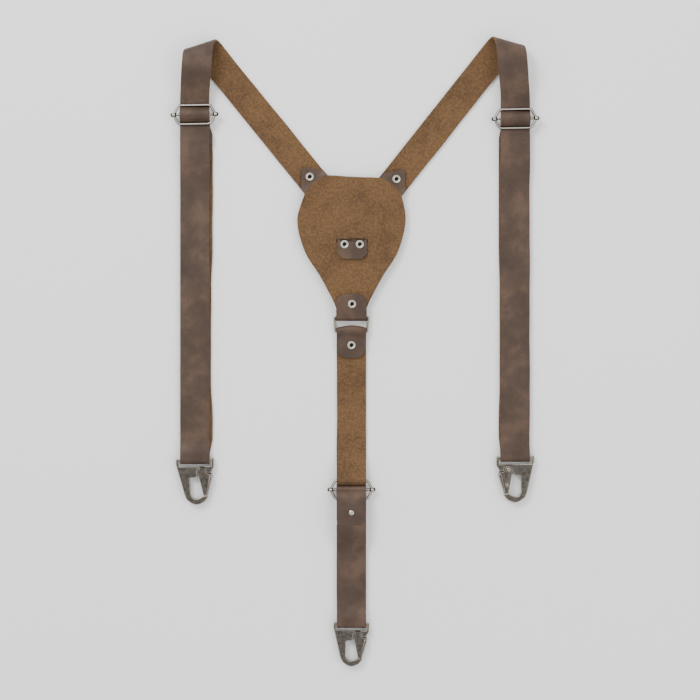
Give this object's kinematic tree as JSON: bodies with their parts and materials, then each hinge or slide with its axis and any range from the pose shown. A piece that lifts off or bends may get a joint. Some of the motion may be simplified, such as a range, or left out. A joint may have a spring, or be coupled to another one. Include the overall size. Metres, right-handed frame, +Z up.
{
  "type": "leather suspenders",
  "caption": "Y-back leather suspenders with a teardrop back patch on a D-ring, wire-frame strap adjusters, tubular rivets and spring-gate snap hooks that catch trouser loops",
  "frame": {"origin": "on the table under the middle of the object's box", "axes": "+X to the right strap, +Y towards the shoulder rolls, +Z up from the table"},
  "size_m": [0.3186, 0.5444, 0.0184],
  "materials": {
    "grain_leather": "matt oiled grain side, dark grey-brown",
    "suede_leather": "golden-brown flesh side with a short nap",
    "antique_pewter": "antique pewter, darkened in its recesses",
    "antique_nickel": "antique nickel, bright on its raised edges"
  },
  "bodies": {
    "back": {"back_patch_outer": "grain_leather", "back_patch_lining": "suede_leather", "centre_tab": "grain_leather", "centre_tab_rivet_left": "antique_nickel", "centre_tab_rivet_right": "antique_nickel", "neck_rivet": "antique_nickel", "left_strap": "grain_leather", "right_strap": "grain_leather", "left_ear_rivet": "antique_nickel", "right_ear_rivet": "antique_nickel"},
    "ring": {"d_ring": "antique_pewter"},
    "rear_strap": {"rear_strap": "suede_leather", "rear_strap_rivet": "antique_nickel"},
    "left_adjuster": {"left_adjuster_frame": "antique_nickel", "left_adjuster_bar": "antique_nickel", "left_tail_rivet": "antique_nickel"},
    "left_hook": {"left_hook": "antique_pewter", "left_hook_pivot": "antique_pewter"},
    "left_gate": {"left_hook_gate": "antique_pewter", "left_hook_spring_pin": "antique_pewter", "left_hook_spring": "antique_nickel"},
    "right_adjuster": {"right_adjuster_frame": "antique_nickel", "right_adjuster_bar": "antique_nickel", "right_tail_rivet": "antique_nickel"},
    "right_hook": {"right_hook": "antique_pewter", "right_hook_pivot": "antique_pewter"},
    "right_gate": {"right_hook_gate": "antique_pewter", "right_hook_spring_pin": "antique_pewter", "right_hook_spring": "antique_nickel"},
    "rear_adjuster": {"rear_adjuster_frame": "antique_nickel", "rear_adjuster_bar": "antique_nickel", "rear_tail_rivet": "antique_nickel"},
    "rear_hook": {"rear_hook": "antique_pewter", "rear_hook_pivot": "antique_pewter"},
    "rear_gate": {"rear_hook_gate": "antique_pewter", "rear_hook_spring_pin": "antique_pewter", "rear_hook_spring": "antique_nickel"}
  },
  "joints": [
    {"name": "ring_swing", "type": "hinge", "parent": "back", "child": "ring", "pos_m": [-0.00305, 0.0303, 0.00422], "axis": [-1, 0, 0], "range_deg": [0, 60]},
    {"name": "rear_strap_swing", "type": "hinge", "parent": "ring", "child": "rear_strap", "pos_m": [-0.00305, 0.0173, 0.00422], "axis": [-1, 0, 0], "range_deg": [0, 60], "deforming": ["rear_strap"]},
    {"name": "left_adjuster_slide", "type": "slide", "parent": "back", "child": "left_adjuster", "axis": [0, 1, 0], "range_m": [-0.15, 0.02], "deforming": ["left_strap"]},
    {"name": "left_hook_swing", "type": "hinge", "parent": "back", "child": "left_hook", "pos_m": [-0.13855, -0.0939, 0.00395], "axis": [-1, 0, 0], "range_deg": [0, 90]},
    {"name": "left_gate_open", "type": "hinge", "parent": "left_hook", "child": "left_gate", "pos_m": [-0.13305, -0.1033, 0.00395], "axis": [0, 0, -1], "range_deg": [0, 20], "stiffness_Nm_per_rad": 0.002, "springref_deg": -20.05},
    {"name": "right_adjuster_slide", "type": "slide", "parent": "back", "child": "right_adjuster", "axis": [0, 1, 0], "range_m": [-0.15, 0.02], "deforming": ["right_strap"]},
    {"name": "right_hook_swing", "type": "hinge", "parent": "back", "child": "right_hook", "pos_m": [0.13855, -0.0919, 0.00395], "axis": [-1, 0, 0], "range_deg": [0, 90]},
    {"name": "right_gate_open", "type": "hinge", "parent": "right_hook", "child": "right_gate", "pos_m": [0.13305, -0.1013, 0.00395], "axis": [0, 0, 1], "range_deg": [0, 20], "stiffness_Nm_per_rad": 0.002, "springref_deg": -20.05},
    {"name": "rear_adjuster_slide", "type": "slide", "parent": "rear_strap", "child": "rear_adjuster", "axis": [0, 1, 0], "range_m": [-0.05, 0.06], "deforming": ["rear_strap"]},
    {"name": "rear_hook_swing", "type": "hinge", "parent": "rear_strap", "child": "rear_hook", "pos_m": [-0.00305, -0.2358, 0.00395], "axis": [-1, 0, 0], "range_deg": [0, 90]},
    {"name": "rear_gate_open", "type": "hinge", "parent": "rear_hook", "child": "rear_gate", "pos_m": [0.00245, -0.2452, 0.00395], "axis": [0, 0, -1], "range_deg": [0, 20], "stiffness_Nm_per_rad": 0.002, "springref_deg": -20.05}
  ]
}
